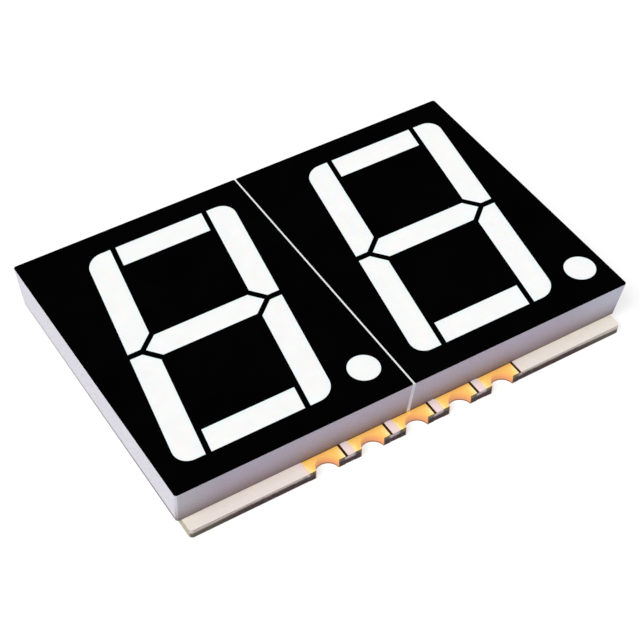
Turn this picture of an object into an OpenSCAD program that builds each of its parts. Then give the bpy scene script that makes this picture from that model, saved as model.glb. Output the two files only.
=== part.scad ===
// Two-digit, surface-mount seven segment display.
// Two moulded reflector housings stand side by side on one thin board with half-hole
// terminals along its long edges. Every light well is filled with milky resin over an LED chip.
// Origin: bottom centre. +X runs along the reading direction, +Y up the digits, +Z out of the face.

/* [Digits] */
// Height of a digit
digit_h = 14.2; // [13:0.1:15]
// Width of a digit across the outer edges of its side segments, measured upright
digit_w = 8.45; // [7.8:0.05:8.8]
// Lean of the digits to the right, in degrees
digit_slant = 9.5; // [0:0.5:11]
// Height of the bar segments a, d and g
bar_h = 1.38; // [1.2:0.02:1.6]
// Width of the side segments b, c, e and f
side_w = 1.43; // [1.3:0.01:1.6]
// Gap between neighbouring segments
seg_gap = 0.3; // [0.2:0.02:0.36]
// Gap between an upper and a lower side segment
seg_split = 0.34; // [0.2:0.02:0.5]
// How far the pointed ends of segment g reach past the side segments' inner edges
tip_reach = 0.5; // [0.35:0.05:0.6]
// Radius of the digit's outer corners
corner_r = 0.9; // [0.5:0.05:1.1]
// Diameter of the decimal point
dp_d = 1.65; // [1.6:0.05:1.8]
// Decimal point's centre to the right of the digit's upright edge
dp_out = 0.78; // [0.55:0.005:0.85]
// Decimal point's centre above the digit's base line
dp_rise = 0.7; // [0.4:0.05:1.2]

/* [Housings] */
// Face beyond the top and the base of a digit
end_margin = 1.4; // [1:0.05:2]
// Face beyond a digit's upright edge, at the outer side
side_margin = 2.115; // [1.9:0.005:2.6]
// Face beyond a digit's upright edge, at the seam
seam_margin = 2.265; // [1.9:0.005:2.6]
// Height of a housing above the board
housing_h = 2.32; // [1.8:0.02:4]
// Draft of the outer side wall, as its inset at the foot
draft_x = 0.15; // [0.05:0.05:0.3]
// Draft of the front and back walls, as their inset at the foot
draft_y = 0.35; // [0.05:0.05:0.35]
// Gap between the two housings
seam_gap = 0.02; // [0.02:0.01:0.1]
// Draft of a light well, as its wall's inset at the floor
well_draft = 0.2; // [0.1:0.02:0.26]
// Thickness of the black print on the face
print_t = 0.03; // [0.02:0.01:0.06]
// Bevel of the face's edge at the seam, which the print leaves bare
seam_bevel = 0.045; // [0.02:0.005:0.06]
// Bevel of the housings' upright edges
upright_bevel = 0.09; // [0.06:0.01:0.12]
// Diameter of the locating pegs
peg_d = 0.9; // [0.6:0.05:1.2]
// Pegs' centres inside a housing's outer side
peg_side = 1.1; // [1:0.05:1.3]
// Upper peg's centre inside a housing's back wall
peg_back = 1.9; // [1.4:0.1:3]
// Lower peg's centre in front of the digit's centre
peg_front = 3.2; // [2.5:0.1:4]
// Radial clearance of a peg in its hole
peg_clear = 0.03; // [0.01:0.01:0.08]

/* [Board] */
// Board's reach beyond the housings' foot, at the front and the back
shelf = 0.8; // [0.7:0.05:1.2]
// Step from the housings' foot in to the board's side edges
side_step = 0.25; // [0.05:0.05:0.25]
// Thickness of the laminate
board_t = 0.5; // [0.4:0.1:1.2]
// Radius of the board's corners
board_r = 0.2; // [0.1:0.05:0.6]
// Thickness of the solder mask
mask_t = 0.03; // [0.02:0.005:0.035]
// Thickness of the plated copper
copper_t = 0.04; // [0.04:0.005:0.08]

/* [Terminals] */
// Terminals along each long edge
pins_per_side = 5; // [2:1:7]
// Distance between terminals
pin_pitch = 2.54; // [2.4:0.02:2.7]
// Clear space between neighbouring pads
pad_gap = 0.54; // [0.4:0.02:0.9]
// Length of a terminal's pad under the board
under_pad_l = 1.6; // [1.2:0.1:2.4]
// Radius of the half-hole in a terminal
notch_r = 0.63; // [0.4:0.01:0.7]
// Half-hole's centre outside the board's edge
notch_out = 0.06; // [0:0.01:0.2]
// Thickness of the plating in the half-hole
plating_t = 0.05; // [0.03:0.01:0.08]
// Clearance of the solder mask round a pad
mask_clear = 0.08; // [0.075:0.005:0.1]
// Sideways shift of the solder mask, which bares the laminate on one side of each pad
mask_shift = 0.07; // [0:0.005:0.07]
// Distance that a top pad stops short of the housing's foot
pad_stop = 0.02; // [0.01:0.01:0.1]

/* [Chips] */
// Width of an LED chip
chip_w = 0.28; // [0.2:0.02:0.34]
// Height of an LED chip
chip_h = 0.12; // [0.08:0.01:0.2]
// Thickness of the adhesive under a chip
attach_t = 0.01; // [0.01:0.005:0.03]
// Width of the land under a chip
chip_land_w = 0.4; // [0.36:0.02:0.42]
// Width of the land that a bond wire ends on
bond_land_w = 0.26; // [0.16:0.02:0.28]
// Distance from a chip to its bond land in a segment
wire_span = 0.9; // [0.6:0.05:1.2]
// Distance from a chip to its bond land under the decimal point
dp_wire_span = 0.46; // [0.42:0.02:0.5]
// Diameter of a bond wire
wire_d = 0.04; // [0.03:0.005:0.06]
// Clearance of the resin round what it covers
resin_clear = 0.01; // [0.005:0.005:0.02]

/* [Hidden] */
$fn = 48;
cut = 0.1;
arc_steps = 8;
z_core = copper_t;
z_core_top = z_core + board_t;
z_foot = z_core_top + mask_t;
z_face = z_foot + housing_h;
z_top = z_face + print_t;
z_chip = z_core_top + copper_t + attach_t;
z_bond = z_chip + chip_h;
half_h = digit_h / 2;
half_w = digit_w / 2;
inner_x = half_w - side_w;
tip_x = inner_x + tip_reach;
diagonal = tip_x + seg_gap * sqrt(2);
dp_x = half_w + dp_out;
dp_y = half_h - dp_rise;
housing_l = digit_h + 2 * end_margin;
housing_side = half_w + side_margin;
seam_side = half_w + seam_margin;
digit_pitch = 2 * seam_side + seam_gap;
foot_l = housing_l - 2 * draft_y;
board_l = foot_l + 2 * shelf;
board_w = digit_pitch + 2 * (housing_side - draft_x - side_step);
peg_x = housing_side - peg_side;
peg_up = housing_l / 2 - peg_back;
pad_w = pin_pitch - pad_gap;
top_pad_l = shelf - pad_stop;
notch_y = board_l / 2 + notch_out;
LEFT = -1;
RIGHT = 1;
BARS = ["a", "d", "g"];
SIDES = ["b", "c", "e", "f"];
SEGMENTS = concat(BARS, SIDES);
LIGHTS = concat(SEGMENTS, ["dp"]);
DIGITS = [["left", LEFT], ["right", RIGHT]];
PIECES = ["housing", "face_print", "chip_lands", "die_attach", "bond_wires"];
PINS = [1:2 * pins_per_side];

// Leans an upright point of a digit to the right
function lean(p) = [p.x + p.y * tan(digit_slant), p.y];

// Mirrors an outline across the digit's axes and keeps it counterclockwise
function flip(points, sx, sy) =
    let (last = len(points) - 1)
    [for (i = [0:last]) let (p = points[sx * sy > 0 ? i : last - i]) [sx * p.x, sy * p.y]];

// Segment b upright: rounded at the digit's corner, cut at 45 degrees towards segment g
function side_outline() = concat(
    [[half_w, seg_split / 2]],
    [for (i = [0:arc_steps]) let (a = 90 * i / arc_steps)
        [half_w - corner_r * (1 - cos(a)), half_h - corner_r * (1 - sin(a))]],
    [[inner_x, half_h], [inner_x, diagonal - inner_x], [diagonal - seg_split / 2, seg_split / 2]]
);

// Segment a upright: a plain bar between the side segments
function bar_outline() =
    let (end = inner_x - seg_gap)
    [[-end, half_h - bar_h], [end, half_h - bar_h], [end, half_h], [-end, half_h]];

// Segment g upright: a bar with pointed ends
function middle_outline() =
    let (h = bar_h / 2, end = tip_x - h)
    [[tip_x, 0], [end, h], [-end, h], [-tip_x, 0], [-end, -h], [end, -h]];

function upright(s) =
    s == "a" ? bar_outline() :
    s == "b" ? side_outline() :
    s == "c" ? flip(side_outline(), 1, -1) :
    s == "d" ? flip(bar_outline(), 1, -1) :
    s == "e" ? flip(side_outline(), -1, -1) :
    s == "f" ? flip(side_outline(), -1, 1) :
    middle_outline();

function outline(s) = [for (p = upright(s)) lean(p)];

// Moves every edge of a counterclockwise outline inwards by the same distance
function inward(a, b) = let (d = (b - a) / norm(b - a)) [-d.y, d.x];
function inset(points, dist) =
    let (n = len(points))
    [for (i = [0:n - 1])
        let (
            before = inward(points[(i + n - 1) % n], points[i]),
            after = inward(points[i], points[(i + 1) % n])
        )
        points[i] + dist * (before + after) / (1 + before * after)];

// Middle of a chip and its bond wire: place, direction and span
function light_place(s) =
    let (bar_y = half_h - bar_h / 2, side_x = half_w - side_w / 2, side_y = (half_h + seg_split / 2) / 2)
    s == "a" ? [lean([0, bar_y]), 0, wire_span] :
    s == "b" ? [lean([side_x, side_y]), 90 - digit_slant, wire_span] :
    s == "c" ? [lean([side_x, -side_y]), 90 - digit_slant, wire_span] :
    s == "d" ? [lean([0, -bar_y]), 0, wire_span] :
    s == "e" ? [lean([-side_x, -side_y]), 90 - digit_slant, wire_span] :
    s == "f" ? [lean([-side_x, side_y]), 90 - digit_slant, wire_span] :
    s == "g" ? [[0, 0], 0, wire_span] :
    [[dp_x, -dp_y], 0, dp_wire_span];

module at_digit(side) {
    translate([side * digit_pitch / 2, 0, 0]) children();
}

module at_light(s) {
    place = light_place(s);
    translate(place[0]) rotate([0, 0, place[1]]) children();
}

// Terminals count from the front left corner and run on along the back, right to left
module at_pin(pin) {
    front = pin <= pins_per_side;
    step = front ? pin - 1 : 2 * pins_per_side - pin;
    x = (step - (pins_per_side - 1) / 2) * pin_pitch;
    translate([x, 0, 0]) mirror([0, front ? 0 : 1, 0]) children();
}

module block(w, l, h) {
    translate([-w / 2, -l / 2, 0]) cube([w, l, h]);
}

// Stacks rings of points, each given with its height, into one closed solid
module stacked_rings(rings, heights) {
    n = len(rings[0]);
    levels = len(rings);
    polyhedron(
        points = [for (k = [0:levels - 1], p = rings[k]) [p.x, p.y, heights[k]]],
        faces = concat(
            [[for (i = [0:n - 1]) i]],
            [[for (i = [n - 1:-1:0]) (levels - 1) * n + i]],
            [for (k = [0:levels - 2], i = [0:n - 1])
                let (j = (i + 1) % n)
                [(k + 1) * n + i, (k + 1) * n + j, k * n + j, k * n + i]]
        )
    );
}

// Space of one light well: straight through the mask, drafted up the housing, straight in the print
module light_well(s, z_low = z_core_top, z_high = z_top) {
    if (s == "dp") {
        translate([dp_x, -dp_y, z_low]) cylinder(r = dp_d / 2 - well_draft, h = z_foot - z_low);
        translate([dp_x, -dp_y, z_foot]) cylinder(r1 = dp_d / 2 - well_draft, r2 = dp_d / 2, h = housing_h);
        translate([dp_x, -dp_y, z_face]) cylinder(d = dp_d, h = z_high - z_face);
    } else {
        rim = outline(s);
        floor_ring = inset(rim, well_draft);
        stacked_rings([floor_ring, floor_ring, rim, rim], [z_low, z_foot, z_face, z_high]);
    }
}

// Two pegs hold each housing in place on the board
module at_pegs() {
    for (p = [[-peg_x, peg_up], [peg_x, -peg_front]])
        translate(p) children();
}

module board_outline() {
    square([board_w - 2 * board_r, board_l], center = true);
    square([board_w, board_l - 2 * board_r], center = true);
    for (x = [-1, 1], y = [-1, 1])
        translate([x * (board_w / 2 - board_r), y * (board_l / 2 - board_r)]) circle(board_r);
}

module peg_holes() {
    for (digit = DIGITS)
        at_digit(digit[1]) at_pegs() cylinder(d = peg_d + 2 * peg_clear, h = z_foot + cut);
}

// Window of the mask round a pad that starts at the board's edge
module pad_windows(pad_l) {
    for (pin = PINS)
        at_pin(pin) translate([mask_shift, -board_l / 2 - cut + (pad_l + mask_clear + cut) / 2, 0])
            block(pad_w + 2 * mask_clear, pad_l + mask_clear + cut, z_foot + cut);
}

module board_core() {
    color("#4a4044") difference() {
        translate([0, 0, z_core]) linear_extrude(board_t) board_outline();
        for (pin = PINS)
            at_pin(pin) translate([0, -notch_y, 0]) cylinder(r = notch_r + plating_t, h = z_foot + cut);
        peg_holes();
    }
}

module top_solder_mask() {
    color("#e9e2da") difference() {
        translate([0, 0, z_core_top]) linear_extrude(mask_t) board_outline();
        pad_windows(top_pad_l);
        peg_holes();
        for (digit = DIGITS, light = LIGHTS)
            at_digit(digit[1]) light_well(light, z_core, z_foot + housing_h + cut);
    }
}

module bottom_solder_mask() {
    color("#e9e2da") difference() {
        translate([0, 0, z_core - mask_t]) linear_extrude(mask_t) board_outline();
        pad_windows(under_pad_l);
        peg_holes();
    }
}

// Castellated terminal: two pads joined by the plated wall of a half-hole
module terminal() {
    wall_h = board_t + 2 * copper_t;
    color("#f2bf5e") difference() {
        translate([0, -board_l / 2, 0]) {
            translate([0, top_pad_l / 2, z_core_top]) block(pad_w, top_pad_l, copper_t);
            translate([0, under_pad_l / 2, 0]) block(pad_w, under_pad_l, copper_t);
            intersection() {
                translate([0, -notch_out, 0]) cylinder(r = notch_r + plating_t, h = wall_h);
                translate([0, top_pad_l / 2, 0]) block(pad_w, top_pad_l, wall_h);
            }
        }
        translate([0, -notch_y, -cut]) cylinder(r = notch_r, h = wall_h + 2 * cut);
    }
}

// Square that bevels a corner at the origin
module corner_cut(bevel) {
    rotate(45) square(bevel * sqrt(2), center = true);
}

// Bevels of a housing: one along the face at the seam and four up its corners
module bevels(side) {
    draft = atan(draft_y / housing_h);
    side_draft = atan(draft_x / housing_h);
    translate([-side * seam_side, 0, z_face])
        rotate([90, 0, 0]) linear_extrude(housing_l + cut, center = true) corner_cut(seam_bevel);
    for (end = [-1, 1]) {
        translate([-side * seam_side, end * foot_l / 2, z_foot]) rotate([-end * draft, 0, 0])
            linear_extrude(3 * housing_h, center = true) corner_cut(upright_bevel);
        translate([side * (housing_side - draft_x), end * foot_l / 2, z_foot])
            rotate([-end * draft, side * side_draft, 0])
                linear_extrude(3 * housing_h, center = true) corner_cut(upright_bevel);
    }
}

// Bar along X with the drafted front and back walls of the housings
module drafted_bar(w) {
    rotate([90, 0, 90]) linear_extrude(w, center = true) polygon([
        [-foot_l / 2, z_foot], [foot_l / 2, z_foot],
        [housing_l / 2, z_face], [-housing_l / 2, z_face]
    ]);
}

// Outer form of a housing: a drafted outer side wall and an upright wall at the seam
module housing_form(side) {
    difference() {
        intersection() {
            drafted_bar(3 * housing_side);
            rotate([90, 0, 0]) linear_extrude(housing_l + cut, center = true) polygon([
                [side * (housing_side - draft_x), z_foot], [side * housing_side, z_face],
                [-side * seam_side, z_face], [-side * seam_side, z_foot]
            ]);
        }
        bevels(side);
    }
}

// Reflector housing: drafted walls, a light well for every segment and two pegs in the board
module housing(side) {
    color("#dcd8e4") difference() {
        union() {
            housing_form(side);
            at_pegs() translate([0, 0, z_core]) cylinder(d = peg_d, h = z_foot - z_core + cut);
        }
        for (light = LIGHTS)
            light_well(light, z_core, z_top + cut);
    }
}

// Adhesive that joins the housings: it fills the gap and is wiped flush in the grooves
module joint_bead() {
    color("#e4e5e8") difference() {
        drafted_bar(seam_gap + 2 * upright_bevel);
        for (digit = DIGITS)
            at_digit(digit[1]) housing_form(digit[1]);
    }
}

// Black print: it covers the face round the segments and stops short of the seam
module face_print(side) {
    seam = seam_side - seam_bevel;
    low = side == LEFT ? -housing_side : -seam;
    high = side == LEFT ? seam : housing_side;
    color("#0b0b0c") translate([0, 0, z_face]) linear_extrude(print_t) difference() {
        translate([low, -housing_l / 2]) square([high - low, housing_l]);
        for (x = [side * housing_side, -side * seam_side], y = [-1, 1])
            translate([x, y * housing_l / 2]) corner_cut(upright_bevel);
        for (s = SEGMENTS) polygon(outline(s));
        translate([dp_x, -dp_y]) circle(d = dp_d);
    }
}

// What stands on the board in one well. Grown, it is the hollow that the resin leaves round it.
module chip_land(span, grow = 0) {
    translate([-span / 2, 0, z_core_top - grow])
        block(chip_land_w + 2 * grow, chip_land_w + 2 * grow, copper_t + 2 * grow);
    translate([span / 2, 0, z_core_top - grow])
        block(bond_land_w + 2 * grow, bond_land_w + 2 * grow, copper_t + 2 * grow);
}

module die_attach(span, grow = 0) {
    translate([-span / 2, 0, z_chip - attach_t - grow])
        block(chip_w + 2 * grow, chip_w + 2 * grow, attach_t + 2 * grow);
}

module chip(span, grow = 0) {
    translate([-span / 2, 0, z_chip - grow])
        block(chip_w + 2 * grow, chip_w + 2 * grow, chip_h + 2 * grow);
}

// Bond wire: a half ring from the chip's top, with a straight leg down to its land
module bond_wire(span, grow = 0) {
    leg = z_bond - z_core_top - copper_t;
    translate([0, 0, z_bond]) rotate([90, 0, 0]) rotate_extrude(angle = 180)
        translate([span / 2, 0]) circle(d = wire_d + 2 * grow);
    translate([span / 2, 0, z_bond - leg]) cylinder(d = wire_d + 2 * grow, h = leg);
}

module fill(s) {
    color("#fbfbfa") difference() {
        light_well(s);
        at_light(s) {
            span = light_place(s)[2];
            chip_land(span, resin_clear);
            die_attach(span, resin_clear);
            chip(span, resin_clear);
            bond_wire(span, resin_clear);
        }
    }
}

board_core();
top_solder_mask();
bottom_solder_mask();
joint_bead();

for (pin = PINS)
    at_pin(pin) terminal();

for (digit = DIGITS) {
    name = digit[0];
    side = digit[1];
    at_digit(side) housing(side);
    at_digit(side) face_print(side);
    color("#e6b45a")
        for (s = LIGHTS) at_digit(side) at_light(s) chip_land(light_place(s)[2]);
    color("#b9bcc0")
        for (s = LIGHTS) at_digit(side) at_light(s) die_attach(light_place(s)[2]);
    color("#e9c46a")
        for (s = LIGHTS) at_digit(side) at_light(s) bond_wire(light_place(s)[2]);
    for (s = LIGHTS) {
        at_digit(side) fill(s);
        color("#9fd3e0")
            at_digit(side) at_light(s) chip(light_place(s)[2]);
    }
}
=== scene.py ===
"""Looks of a two-digit surface-mount seven segment display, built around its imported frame."""

import math

import bpy
from mathutils import Matrix, Vector


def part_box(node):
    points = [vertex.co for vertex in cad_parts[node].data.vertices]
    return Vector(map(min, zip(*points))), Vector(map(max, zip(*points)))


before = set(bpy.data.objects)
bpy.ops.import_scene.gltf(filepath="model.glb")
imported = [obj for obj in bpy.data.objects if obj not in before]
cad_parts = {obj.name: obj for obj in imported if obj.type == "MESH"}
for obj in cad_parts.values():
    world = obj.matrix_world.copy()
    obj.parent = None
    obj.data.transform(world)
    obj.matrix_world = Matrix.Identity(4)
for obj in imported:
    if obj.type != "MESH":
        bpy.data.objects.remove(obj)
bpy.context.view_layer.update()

# Board core: a thin sheet of dark glass-fibre laminate, routed to size, with the half-holes
# and the peg holes drilled before. Its routed edge shows dark resin and frayed glass, and white
# lacquer has run over its rim. The short sides, scored and snapped, are chalky.
MM = 0.001
PIN_PITCH = 2.54
board_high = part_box("board_core")[1]
pad_low, pad_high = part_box("terminal_1")
EDGE_X = board_high.x / MM
CORE_TOP = board_high.z / MM
PAD_HALF = (pad_high.x - pad_low.x) / 2 / MM
ROW_END = -pad_low.x / MM
LACQUER_FROM = ROW_END + 0.07
LACQUER_WHOLE = ROW_END + 0.42


def add_node(tree, kind, inputs=None, **settings):
    """One shader node, with settings by name and input values or links by socket name or number."""
    made = tree.nodes.new(kind)
    for name, value in settings.items():
        setattr(made, name, value)
    for name, value in (inputs or {}).items():
        if isinstance(value, bpy.types.NodeSocket):
            tree.links.new(value, made.inputs[name])
        else:
            made.inputs[name].default_value = value
    return made


def new_finish(name, **plain):
    """A material with its own Principled shader, and that shader's uniform values by socket name."""
    made = bpy.data.materials.new(name)
    made.use_nodes = True
    made.node_tree.nodes.clear()
    shader = add_node(made.node_tree, "ShaderNodeBsdfPrincipled", plain)
    add_node(made.node_tree, "ShaderNodeOutputMaterial", {"Surface": shader.outputs["BSDF"]})
    return made, made.node_tree, shader


def place_in_mm(tree):
    """The place on the part in millimetres, as a vector."""
    place = add_node(tree, "ShaderNodeTexCoord").outputs["Object"]
    return add_node(
        tree, "ShaderNodeVectorMath", {0: place, "Scale": 1 / MM}, operation="SCALE"
    ).outputs["Vector"]


def build_mottle_group():
    """Cloudy mask from 0 to 1: Grain is the size of a cloud in mm, Stretch squeezes it along Z."""
    group = bpy.data.node_groups.new("mottle", "ShaderNodeTree")
    for name, usual in (("Grain", 0.5), ("Stretch", 1.0), ("Contrast", 2.0)):
        made = group.interface.new_socket(name, in_out="INPUT", socket_type="NodeSocketFloat")
        made.default_value = usual
    group.interface.new_socket("Mask", in_out="OUTPUT", socket_type="NodeSocketFloat")
    given = add_node(group, "NodeGroupInput").outputs
    squeeze = add_node(group, "ShaderNodeCombineXYZ", {"X": 1.0, "Y": 1.0, "Z": given["Stretch"]})
    squeezed = add_node(
        group, "ShaderNodeVectorMath",
        {0: place_in_mm(group), 1: squeeze.outputs["Vector"]}, operation="MULTIPLY",
    )
    per_grain = add_node(group, "ShaderNodeMath", {0: 1.0, 1: given["Grain"]}, operation="DIVIDE")
    cloud = add_node(
        group, "ShaderNodeTexNoise",
        {"Vector": squeezed.outputs["Vector"], "Scale": per_grain.outputs["Value"], "Detail": 3.0},
    )
    centred = add_node(group, "ShaderNodeMath", {0: cloud.outputs["Fac"], 1: 0.5}, operation="SUBTRACT")
    spread = add_node(
        group, "ShaderNodeMath", {0: centred.outputs["Value"], 1: given["Contrast"], 2: 0.5},
        operation="MULTIPLY_ADD", use_clamp=True,
    )
    add_node(group, "NodeGroupOutput", {"Mask": spread.outputs["Value"]})
    return group


mottle_group = build_mottle_group()


def mottle(tree, grain, contrast=2.0, stretch=1.0):
    """A placed mottle group's mask."""
    return add_node(
        tree, "ShaderNodeGroup", {"Grain": grain, "Contrast": contrast, "Stretch": stretch},
        node_tree=mottle_group,
    ).outputs["Mask"]


def blend_colours(tree, mask, low, high):
    """Colour that runs from low to high with a mask; each is a colour or another node's colour."""
    mixed = add_node(tree, "ShaderNodeMix", {0: mask}, data_type="RGBA")
    for socket, value in ((mixed.inputs[6], low), (mixed.inputs[7], high)):
        if isinstance(value, bpy.types.NodeSocket):
            tree.links.new(value, socket)
        else:
            socket.default_value = (*value, 1.0)
    return mixed.outputs[2]


def ramp(tree, value, low, high, to_low=0.0, to_high=1.0):
    """Value taken from one range to another and held at its ends."""
    return add_node(
        tree, "ShaderNodeMapRange", {0: value, 1: low, 2: high, 3: to_low, 4: to_high}
    ).outputs["Result"]


def part_of(tree, place, axis):
    """One component of a place."""
    return add_node(tree, "ShaderNodeSeparateXYZ", {"Vector": place}).outputs[axis]


def size_of(tree, value):
    """A value without its sign."""
    return add_node(tree, "ShaderNodeMath", {0: value}, operation="ABSOLUTE").outputs["Value"]


def from_middle(tree, place, axis):
    """Distance from the part's middle along one axis."""
    return size_of(tree, part_of(tree, place, axis))


def from_pin(tree, place):
    """Place along the row, counted from the middle of the nearest pin."""
    return add_node(
        tree, "ShaderNodeMath",
        {0: part_of(tree, place, "X"), 1: PIN_PITCH / 2, 2: -PIN_PITCH / 2}, operation="WRAP",
    ).outputs["Value"]


def uneven(tree, cloud, least):
    """Cloudy mask lifted so that it runs from least to 1."""
    return ramp(tree, cloud, 0.0, 1.0, to_low=least)


def multiply(tree, first, second):
    """Product of two masks."""
    return add_node(tree, "ShaderNodeMath", {0: first, 1: second}, operation="MULTIPLY").outputs["Value"]


def raised(tree, value, mask, most):
    """Value raised by a mask, by most where the mask is 1."""
    return add_node(
        tree, "ShaderNodeMath", {0: mask, 1: most, 2: value}, operation="MULTIPLY_ADD"
    ).outputs["Value"]


def cover(tree, shader, colour, cloud, smoothest, roughest):
    """Base colour of a finish, and a roughness that follows a cloudy mask."""
    tree.links.new(colour, shader.inputs["Base Color"])
    tree.links.new(ramp(tree, cloud, 0.0, 1.0, smoothest, roughest), shader.inputs["Roughness"])


def relief(tree, shader, height, depth):
    """Bump of a height mask; depth is in mm."""
    bump = add_node(tree, "ShaderNodeBump", {"Height": height, "Strength": 1.0, "Distance": depth * MM})
    tree.links.new(bump.outputs["Normal"], shader.inputs["Normal"])


def dress(names, material):
    """Gives CAD nodes one material."""
    for name in names:
        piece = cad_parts[name]
        if not piece.material_slots:
            piece.data.materials.append(material)
        for place in piece.material_slots:
            place.material = material


def routed_edge(tree, height, off_pin):
    """Resin and glass of the cut edge: frayed near its rim, smeared with metal under the pads."""
    resin = (0.016, 0.008, 0.010)
    glass = (0.085, 0.050, 0.058)
    frayed = (0.26, 0.21, 0.17)
    brassy = (0.26, 0.22, 0.06)
    body = blend_colours(tree, mottle(tree, 0.20, 3.2, stretch=2.6), resin, glass)
    near_rim = ramp(tree, height, CORE_TOP - 0.26, CORE_TOP - 0.06)
    tufted = blend_colours(tree, multiply(tree, near_rim, mottle(tree, 0.22, 4.0)), body, frayed)
    under_pad = ramp(tree, off_pin, PAD_HALF - 0.05, PAD_HALF - 0.22)
    burr = multiply(tree, under_pad, ramp(tree, height, CORE_TOP - 0.24, CORE_TOP - 0.05))
    return blend_colours(tree, multiply(tree, burr, mottle(tree, 0.13, 5.0)), tufted, brassy)


def spilled_lacquer(tree, height, off_pin, out_x, edge):
    """The edge between two pins, where lacquer has spilled over the rim in patches."""
    lilac = (0.74, 0.62, 0.65)
    in_row = ramp(tree, out_x, LACQUER_WHOLE, LACQUER_FROM)
    between = multiply(tree, ramp(tree, off_pin, PAD_HALF - 0.07, PAD_HALF + 0.02), in_row)
    spilled = multiply(tree, between, ramp(tree, height, CORE_TOP - 0.25, CORE_TOP - 0.10))
    patchy = uneven(tree, mottle(tree, 0.20, 4.0), 0.45)
    return blend_colours(tree, multiply(tree, spilled, patchy), edge, lilac)


def run_lacquer(tree, place, height, out_x, edge):
    """The edge beside the row of pins: greener towards its ends, with lacquer run over the rim."""
    olive = (0.30, 0.31, 0.21)
    blushed = (0.65, 0.54, 0.545)
    lacquered = (0.69, 0.62, 0.57)
    ends_from = 9.5
    blushed_to, lacquered_from = -8.0, 8.0
    towards_ends = ramp(tree, out_x, ends_from, EDGE_X)
    near_rim = ramp(tree, height, CORE_TOP - 0.30, CORE_TOP - 0.10, to_low=0.30, to_high=0.85)
    greenish = blend_colours(tree, multiply(tree, towards_ends, near_rim), edge, olive)
    wavy = raised(tree, height, mottle(tree, 0.5, 1.6), 0.05)
    thicker = raised(tree, wavy, towards_ends, 0.09)
    over_rim = ramp(tree, thicker, CORE_TOP - 0.15, CORE_TOP - 0.04)
    run_over = multiply(tree, over_rim, ramp(tree, out_x, LACQUER_FROM, LACQUER_WHOLE))
    along = ramp(tree, part_of(tree, place, "X"), blushed_to, lacquered_from)
    return blend_colours(tree, run_over, greenish, blend_colours(tree, along, blushed, lacquered))


def laminate_finish():
    """Long sides, short sides, and the bare laminate that the lacquer leaves open on top."""
    dusty = (0.44, 0.41, 0.31)
    chalky = (0.40, 0.39, 0.34)
    stripped = (0.026, 0.010, 0.004)
    dusty_to, chalky_from = -7.0, 8.0
    made, tree, shader = new_finish("laminate", **{"Specular IOR Level": 0.15})
    place = place_in_mm(tree)
    height = part_of(tree, place, "Z")
    out_x = from_middle(tree, place, "X")
    off_pin = size_of(tree, from_pin(tree, place))
    between = spilled_lacquer(tree, height, off_pin, out_x, routed_edge(tree, height, off_pin))
    long_side = run_lacquer(tree, place, height, out_x, between)
    short_side = blend_colours(
        tree, ramp(tree, part_of(tree, place, "Y"), dusty_to, chalky_from), dusty, chalky
    )
    snapped = ramp(tree, out_x, EDGE_X - 0.04, EDGE_X - 0.005)
    sides = blend_colours(tree, snapped, long_side, short_side)
    on_top = ramp(tree, height, CORE_TOP - 0.012, CORE_TOP - 0.004)
    fibres = mottle(tree, 0.05, 2.4, stretch=1.6)
    cover(tree, shader, blend_colours(tree, on_top, sides, stripped), fibres, 0.42, 0.72)
    relief(tree, shader, fibres, 0.012)
    return made


dress(["board_core"], laminate_finish())

# Solder masks: white lacquer cured on both sides of the board, open over the pads and under
# the wells. It is a little warm, pinker between the pads, yellower towards its ends, the right
# one most, and painted shade darkens the shelf beyond the housings' foot.
EDGE_Y = board_high.y / MM
SHELF = 0.8
WALL_Y = EDGE_Y - SHELF


def mask_finish():
    """Lacquer: its colour along the board, spots, aged ends, painted shade on the shelf and pink by the
    pins.
    """
    rosy = (0.775, 0.700, 0.635)
    creamy = (0.785, 0.728, 0.610)
    yellowed = (0.755, 0.715, 0.600)
    spot_and_shade = (0.66, 0.605, 0.555)
    flushed = (0.750, 0.602, 0.580)
    creamy_from, creamy_to = 3.0, 10.0
    most_spots, most_darkening = 0.17, 0.85
    made, tree, shader = new_finish("solder_mask", **{"Specular IOR Level": 0.3})
    place = place_in_mm(tree)
    out_x = from_middle(tree, place, "X")
    out_y = from_middle(tree, place, "Y")
    along = ramp(tree, part_of(tree, place, "X"), creamy_from, creamy_to)
    spots = ramp(tree, mottle(tree, 0.28, 4.0), 0.55, 1.0, to_high=most_spots)
    spotted = blend_colours(tree, spots, blend_colours(tree, along, rosy, creamy), spot_and_shade)
    aged = blend_colours(tree, ramp(tree, out_x, EDGE_X - 1.3, EDGE_X), spotted, yellowed)
    # Painted shade: the shelf is darker out from the housings' foot and stays lighter right beside it.
    shelf_darkening = ramp(tree, out_y, WALL_Y + 0.02, WALL_Y + 0.35, to_high=most_darkening)
    rimmed = blend_colours(tree, shelf_darkening, aged, spot_and_shade)
    in_row = ramp(tree, out_x, LACQUER_WHOLE, LACQUER_FROM + 0.05)
    by_pins = multiply(tree, in_row, ramp(tree, out_y, WALL_Y - 0.1, WALL_Y))
    colour = blend_colours(tree, by_pins, rimmed, flushed)
    cover(tree, shader, colour, mottle(tree, 0.9), 0.38, 0.55)
    relief(tree, shader, mottle(tree, 0.16, 1.8), 0.005)
    return made


dress(["top_solder_mask", "bottom_solder_mask"], mask_finish())

# Terminals: copper pads above and below, joined through a half-hole, all plated with nickel
# and a flash of gold. The drilled wall is redder, and the flats turn pale at their outer corners.
PAD_TOP = pad_high.z / MM
TERMINALS = [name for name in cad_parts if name.startswith("terminal_")]


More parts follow.
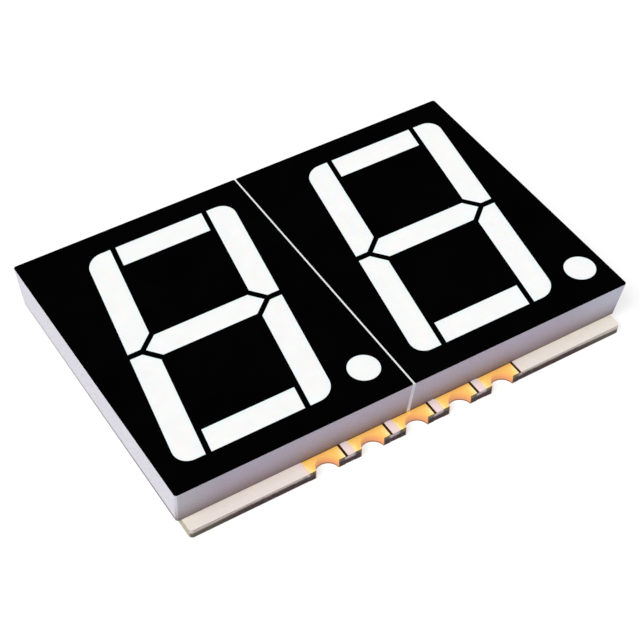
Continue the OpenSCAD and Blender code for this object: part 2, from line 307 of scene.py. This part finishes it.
def plated_flats(tree, off_middle, to_edge, cloud):
    """The pads' flats: amber by the half-hole, yellower aside of it and pale at the corners."""
    amber = (0.965, 0.510, 0.125)
    yellow = (0.965, 0.595, 0.130)
    pale = (0.965, 0.810, 0.375)
    amber_to, yellow_from = 0.20, 0.75
    aside = multiply(tree, ramp(tree, off_middle, amber_to, yellow_from), uneven(tree, cloud, 0.4))
    flats = blend_colours(tree, aside, amber, yellow)
    at_side = ramp(tree, off_middle, PAD_HALF - 0.32, PAD_HALF - 0.06)
    corner = multiply(tree, at_side, ramp(tree, to_edge, EDGE_Y - 0.68, EDGE_Y - 0.25))
    return blend_colours(tree, multiply(tree, corner, uneven(tree, cloud, 0.55)), flats, pale)


def gold_finish():
    """Plating: flats, redder drilled wall, a darker rim low down and bare copper where it was routed."""
    smear = (0.93, 0.77, 0.44)
    salmon = (0.81, 0.337, 0.142)
    shaded = (0.20, 0.060, 0.015)
    dark_low_colour = (0.16, 0.075, 0.04)
    copper = (0.20, 0.115, 0.045)
    underside, just_above = 0.0005, 0.004
    dark_rim_to, dark_rim_whole = 0.11, 0.04
    least_metal, most_metal = 0.08, 0.65
    made, tree, shader = new_finish("gold_plating", **{"Specular IOR Level": 0.8})
    place = place_in_mm(tree)
    height = part_of(tree, place, "Z")
    to_edge = from_middle(tree, place, "Y")
    across = from_pin(tree, place)
    cloud = mottle(tree, 0.16, 2.6)
    flats = plated_flats(tree, size_of(tree, across), to_edge, cloud)
    at_left_side = ramp(tree, across, 0.10 - PAD_HALF, -PAD_HALF)
    smeared = blend_colours(tree, multiply(tree, at_left_side, uneven(tree, cloud, 0.55)), flats, smear)
    on_top = ramp(tree, height, PAD_TOP - 0.02, PAD_TOP - 0.005)
    tucked = multiply(tree, ramp(tree, to_edge, WALL_Y + 0.05, WALL_Y), on_top)
    lined = blend_colours(tree, tucked, smeared, shaded)
    wall = blend_colours(tree, ramp(tree, height, PAD_TOP - 0.02, PAD_TOP - 0.42), lined, salmon)
    # The drilled wall turns darker in a thin rim low down.
    low_down = ramp(tree, height, dark_rim_to, dark_rim_whole)
    low_rim = multiply(tree, low_down, ramp(tree, height, underside, just_above))
    rimmed = blend_colours(tree, low_rim, wall, dark_low_colour)
    gilded = blend_colours(tree, ramp(tree, height, just_above, underside), rimmed, flats)
    routed = ramp(tree, to_edge, EDGE_Y - 0.006, EDGE_Y - 0.001)
    cover(tree, shader, blend_colours(tree, routed, gilded, copper), mottle(tree, 0.08), 0.34, 0.55)
    metal = ramp(tree, height, PAD_TOP - 0.002, PAD_TOP - 0.02, least_metal, most_metal)
    tree.links.new(metal, shader.inputs["Metallic"])
    relief(tree, shader, mottle(tree, 0.06, 1.6), 0.004)
    return made


gold = gold_finish()
dress(TERMINALS, gold)

# Sealed in each well: two plated copper lands, a dot of silver-filled adhesive, an LED chip
# of clear crystal with a darker active layer, and one bond wire of gold.
DIGITS = ["left", "right"]
LIGHTS = ["a", "b", "c", "d", "e", "f", "g", "dp"]


def adhesive_finish():
    """Grey binder with silver flakes."""
    binder = (0.42, 0.42, 0.44)
    silver = (0.68, 0.68, 0.70)
    made, tree, shader = new_finish("silver_adhesive", Metallic=0.6)
    flakes = mottle(tree, 0.03, 3.0)
    cover(tree, shader, blend_colours(tree, flakes, binder, silver), flakes, 0.35, 0.6)
    relief(tree, shader, flakes, 0.002)
    return made


def chip_finish():
    """Clear crystal under a dark active layer."""
    deep = (0.50, 0.66, 0.70)
    clear = (0.64, 0.80, 0.84)
    active = (0.20, 0.30, 0.42)
    crystal_to, active_from = CORE_TOP + 0.14, CORE_TOP + 0.17
    made, tree, shader = new_finish("led_chip", **{"IOR": 1.7, "Coat Weight": 0.3})
    height = part_of(tree, place_in_mm(tree), "Z")
    crystal = blend_colours(tree, mottle(tree, 0.09, 1.6), deep, clear)
    layered = blend_colours(tree, ramp(tree, height, crystal_to, active_from), crystal, active)
    cover(tree, shader, layered, mottle(tree, 0.05), 0.10, 0.25)
    return made


def wire_finish():
    """Drawn gold wire."""
    dull = (0.86, 0.58, 0.20)
    bright = (0.98, 0.74, 0.32)
    made, tree, shader = new_finish("bond_wire", Metallic=1.0)
    drawn = mottle(tree, 0.02)
    cover(tree, shader, blend_colours(tree, drawn, dull, bright), drawn, 0.18, 0.34)
    return made


dress([f"{digit}_chip_lands" for digit in DIGITS], gold)
dress([f"{digit}_die_attach" for digit in DIGITS], adhesive_finish())
dress([f"{digit}_chip_{light}" for digit in DIGITS for light in LIGHTS], chip_finish())
dress([f"{digit}_bond_wires" for digit in DIGITS], wire_finish())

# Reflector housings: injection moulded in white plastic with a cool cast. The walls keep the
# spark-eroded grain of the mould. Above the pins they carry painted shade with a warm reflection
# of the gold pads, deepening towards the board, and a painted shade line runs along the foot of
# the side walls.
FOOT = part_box("top_solder_mask")[1].z / MM
SIDE_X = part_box("right_housing")[1].x / MM
SIDE_FOOT_X = SIDE_X - 0.15


def clean_walls(tree, place, out_x, over_pins):
    """Bare plastic: paler towards the ends, and bluish at the right end of the walls over the pins."""
    cool = (0.556, 0.486, 0.617)
    cooler = (0.534, 0.486, 0.611)
    fresh = (0.682, 0.665, 0.735)
    shaded = (0.595, 0.580, 0.642)
    bluish = (0.640, 0.645, 0.790)
    paler_from, paler_to = 10.5, 12.5
    bluish_from, bluish_to = 9.0, 12.3
    cast = blend_colours(tree, mottle(tree, 2.2, 2.4), cool, cooler)
    facing_pins = multiply(tree, over_pins, ramp(tree, out_x, SIDE_FOOT_X - 0.03, SIDE_FOOT_X - 0.09))
    ends = blend_colours(tree, facing_pins, fresh, shaded)
    body = blend_colours(tree, ramp(tree, out_x, paler_from, paler_to), cast, ends)
    right_end = ramp(tree, part_of(tree, place, "X"), bluish_from, bluish_to)
    return blend_colours(tree, multiply(tree, over_pins, right_end), body, bluish)


def warm_shaded_walls(tree, height, out_x, over_pins, walls):
    """Painted shade with a warm reflection of the gold pads: strong near the board, faint at the ends.
    """
    # Painted shade and painted reflection of the gold pads, warm and dark.
    warm_shade_colour = (0.412, 0.296, 0.338)
    warm_shade_top = FOOT + 1.9
    fades_from, fades_to = 9.0, 12.6
    low = ramp(tree, height, warm_shade_top, FOOT)
    to_ends = ramp(tree, out_x, fades_from, fades_to, to_low=1.0, to_high=0.45)
    patchy = multiply(tree, multiply(tree, low, to_ends), uneven(tree, mottle(tree, 1.1, 1.4), 0.75))
    return blend_colours(tree, multiply(tree, over_pins, patchy), walls, warm_shade_colour)


def moulding_finish():
    """Plastic and grain, painted warm shade, painted shade above the board and at the sides' foot."""
    pitted = (0.36, 0.36, 0.39)
    foot_shade_colour = (0.178, 0.130, 0.134)
    side_foot_shade = (0.080, 0.073, 0.090)
    faint_pits, plain_pits = 0.14, 0.34
    foot_shade_top = FOOT + 1.5
    shade_strong_to, shade_faint_from = -6.0, 8.0
    made, tree, shader = new_finish(
        "white_moulding",
        **{"Specular IOR Level": 0.3, "Subsurface Weight": 0.1, "Subsurface Scale": 0.3 * MM},
    )
    place = place_in_mm(tree)
    height = part_of(tree, place, "Z")
    out_x = from_middle(tree, place, "X")
    over_pins = ramp(tree, from_middle(tree, place, "Y"), WALL_Y - 0.12, WALL_Y - 0.02)
    walls = clean_walls(tree, place, out_x, over_pins)
    with_warm_shade = warm_shaded_walls(tree, height, out_x, over_pins, walls)
    grain = mottle(tree, 0.085, 3.0)
    coarse = ramp(tree, out_x, SIDE_FOOT_X - 0.09, SIDE_FOOT_X - 0.01, faint_pits, plain_pits)
    grained = blend_colours(tree, multiply(tree, grain, coarse), with_warm_shade, pitted)
    # Painted shade: the walls over the pins darken towards the board, deepest at its foot.
    near_foot = ramp(tree, height, foot_shade_top, FOOT)
    foot_shading = multiply(tree, over_pins, multiply(tree, near_foot, near_foot))
    darkened = blend_colours(tree, foot_shading, grained, foot_shade_colour)
    # Painted shade: a dark line along the foot of the side walls, stronger towards the front.
    at_side = ramp(tree, out_x, SIDE_FOOT_X - 0.04, SIDE_FOOT_X)
    side_foot = multiply(tree, at_side, ramp(tree, height, FOOT + 0.26, FOOT + 0.14))
    shade_fading = ramp(
        tree, part_of(tree, place, "Y"), shade_strong_to, shade_faint_from, to_low=0.95, to_high=0.30
    )
    colour = blend_colours(tree, multiply(tree, side_foot, shade_fading), darkened, side_foot_shade)
    cover(tree, shader, colour, grain, 0.42, 0.58)
    relief(tree, shader, grain, 0.012)
    return made


dress([f"{digit}_housing" for digit in DIGITS], moulding_finish())

# Joint bead: white adhesive squeezed between the two housings and wiped flush in the grooves of
# the seam. Its pale line is partly a painted highlight of the housings' seam edges. It dries
# grey-white, cooler on the walls, with a painted highlight where it meets the board.


def bead_finish():
    """Dried adhesive in dabs: bluish on the walls, grey on the face, painted highlight at its foot."""
    bluer, blue = (0.67, 0.66, 0.77), (0.76, 0.75, 0.86)
    greyer, grey = (0.63, 0.64, 0.65), (0.72, 0.73, 0.73)
    foot_highlight = (0.90, 0.85, 0.77)
    low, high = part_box("joint_bead")
    bead_foot, bead_top = low.z / MM, high.z / MM
    made, tree, shader = new_finish("joint_adhesive", **{"Specular IOR Level": 0.4})
    height = part_of(tree, place_in_mm(tree), "Z")
    dabs = mottle(tree, 0.35, 2.4)
    on_walls = blend_colours(tree, dabs, bluer, blue)
    on_face = blend_colours(tree, dabs, greyer, grey)
    at_face = ramp(tree, height, bead_top - 0.09, bead_top - 0.02)
    wiped = blend_colours(tree, at_face, on_walls, on_face)
    # Painted highlight: the bead turns pale near its foot.
    highlight_near_foot = ramp(tree, height, bead_foot + 0.38, bead_foot + 0.08)
    cover(tree, shader, blend_colours(tree, highlight_near_foot, wiped, foot_highlight), dabs, 0.35, 0.6)
    relief(tree, shader, mottle(tree, 0.12), 0.006)
    return made


dress(["joint_bead"], bead_finish())

# Fills: milky epoxy cast into each well and levelled with the face. It scatters light and is
# as white as the part gets, with a trace of clouding from the diffuser powder.


def resin_finish():
    """Milky resin, faintly clouded."""
    milk, powder = (0.725, 0.725, 0.722), (0.755, 0.755, 0.750)
    made, tree, shader = new_finish(
        "milky_resin",
        **{"Specular IOR Level": 0.3, "Subsurface Weight": 0.25, "Subsurface Scale": 0.6 * MM},
    )
    clouded = blend_colours(tree, mottle(tree, 0.8), milk, powder)
    cover(tree, shader, clouded, mottle(tree, 0.3), 0.28, 0.42)
    relief(tree, shader, mottle(tree, 1.4, 1.5), 0.004)
    return made


dress([f"{digit}_fill_{light}" for digit in DIGITS for light in LIGHTS], resin_finish())

# Face prints: matt black ink stamped over each housing's face, round the filled wells. It is
# flat and deep, with a fine orange-peel from the pad that laid it down.


def ink_finish():
    """Deep matt black."""
    deepest, deep = (0.0004, 0.0004, 0.0005), (0.0010, 0.0010, 0.0011)
    made, tree, shader = new_finish("black_print", **{"Specular IOR Level": 0.0})
    peel = mottle(tree, 0.18)
    cover(tree, shader, blend_colours(tree, mottle(tree, 3.0), deepest, deep), peel, 0.55, 0.75)
    relief(tree, shader, peel, 0.002)
    return made


dress([f"{digit}_face_print" for digit in DIGITS], ink_finish())

# Floor, light and camera: the part lies on a plain white table under one broad lamp from the
# left, with white light from all round. The camera looks down on it from the front left.
TABLE_SIZE = 2000.0
TABLE_DROP = 0.01
TABLE_GLOW = 0.72
KEY_DIRECTION = Vector((-0.66, -0.22, 0.85))
KEY_STRENGTH = 3.25
KEY_SPREAD = 28
ROOM_STRENGTH = 0.50
WHITE = (1.0, 1.0, 1.0, 1.0)
PHOTO_SIZE = 640
AZIMUTH, ELEVATION, ROLL = -32.44, 46.09, 0.75
DISTANCE = 86.0
FOCAL_PIXELS = 1673.0
CENTRE_PIXELS = (-1.2, -4.3)


def seen_white(tree):
    """1 for rays that look at a surface straight, in a reflection or through glass, else 0."""
    path = add_node(tree, "ShaderNodeLightPath").outputs
    shiny = add_node(
        tree, "ShaderNodeMath",
        {0: path["Is Glossy Ray"], 1: path["Is Transmission Ray"]}, operation="MAXIMUM",
    )
    return add_node(
        tree, "ShaderNodeMath",
        {0: path["Is Camera Ray"], 1: shiny.outputs["Value"]}, operation="MAXIMUM",
    ).outputs["Value"]


def table_finish():
    """White to the eye, grey to the light, so that it throws no more light on the part."""
    grey, white = (0.42, 0.42, 0.42), (0.94, 0.94, 0.94)
    made, tree, shader = new_finish("table_white", Roughness=0.9, **{"Specular IOR Level": 0.0})
    seen = seen_white(tree)
    tree.links.new(blend_colours(tree, seen, grey, white), shader.inputs["Base Color"])
    glow = add_node(tree, "ShaderNodeEmission", {"Color": WHITE, "Strength": 1.0})
    share = add_node(tree, "ShaderNodeMath", {0: seen, 1: TABLE_GLOW}, operation="MULTIPLY")
    mixed = add_node(
        tree, "ShaderNodeMixShader",
        {0: share.outputs["Value"], 1: shader.outputs["BSDF"], 2: glow.outputs["Emission"]},
    )
    output = next(node for node in tree.nodes if node.bl_idname == "ShaderNodeOutputMaterial")
    tree.links.new(mixed.outputs["Shader"], output.inputs["Surface"])
    return made


def build_table():
    """A flat square under the part, with no thickness."""
    half = TABLE_SIZE * MM / 2
    level = pad_low.z - TABLE_DROP * MM
    corners = [(-half, -half, level), (half, -half, level), (half, half, level), (-half, half, level)]
    mesh = bpy.data.meshes.new("table")
    mesh.from_pydata(corners, [], [(0, 1, 2, 3)])
    mesh.materials.append(table_finish())
    table = bpy.data.objects.new("table", mesh)
    bpy.context.scene.collection.objects.link(table)


def build_light():
    """White surroundings and one broad lamp."""
    world = bpy.data.worlds.new("white_room")
    bpy.context.scene.world = world
    world.use_nodes = True
    tree = world.node_tree
    tree.nodes.clear()
    strength = ramp(tree, seen_white(tree), 0.0, 1.0, to_low=ROOM_STRENGTH)
    ground = add_node(tree, "ShaderNodeBackground", {"Color": WHITE, "Strength": strength})
    add_node(tree, "ShaderNodeOutputWorld", {"Surface": ground.outputs["Background"]})
    lamp = bpy.data.lights.new("key_lamp", "SUN")
    lamp.energy = KEY_STRENGTH
    lamp.angle = math.radians(KEY_SPREAD)
    key = bpy.data.objects.new("key_lamp", lamp)
    key.matrix_world = KEY_DIRECTION.to_track_quat("Z", "Y").to_matrix().to_4x4()
    bpy.context.scene.collection.objects.link(key)


def build_camera():
    """A camera that looks at the part's middle, with its picture shifted to match the framing."""
    turn, tilt, roll = (math.radians(angle) for angle in (AZIMUTH, ELEVATION, ROLL))
    back = Vector((math.sin(turn) * math.cos(tilt), -math.cos(turn) * math.cos(tilt), math.sin(tilt)))
    level = Vector((math.cos(turn), math.sin(turn), 0.0))
    up = back.cross(level)
    right = math.cos(roll) * level + math.sin(roll) * up
    above = -math.sin(roll) * level + math.cos(roll) * up
    lens = bpy.data.cameras.new("camera")
    lens.sensor_width = 36.0
    lens.lens = lens.sensor_width * FOCAL_PIXELS / PHOTO_SIZE
    lens.shift_x = -CENTRE_PIXELS[0] / PHOTO_SIZE
    lens.shift_y = CENTRE_PIXELS[1] / PHOTO_SIZE
    lens.clip_start = MM
    camera = bpy.data.objects.new("camera", lens)
    turned = Matrix((right, above, back)).transposed().to_4x4()
    camera.matrix_world = Matrix.Translation(back * DISTANCE * MM) @ turned
    bpy.context.scene.collection.objects.link(camera)
    bpy.context.scene.camera = camera


build_table()
build_light()
build_camera()
bpy.context.scene.view_settings.view_transform = "Standard"
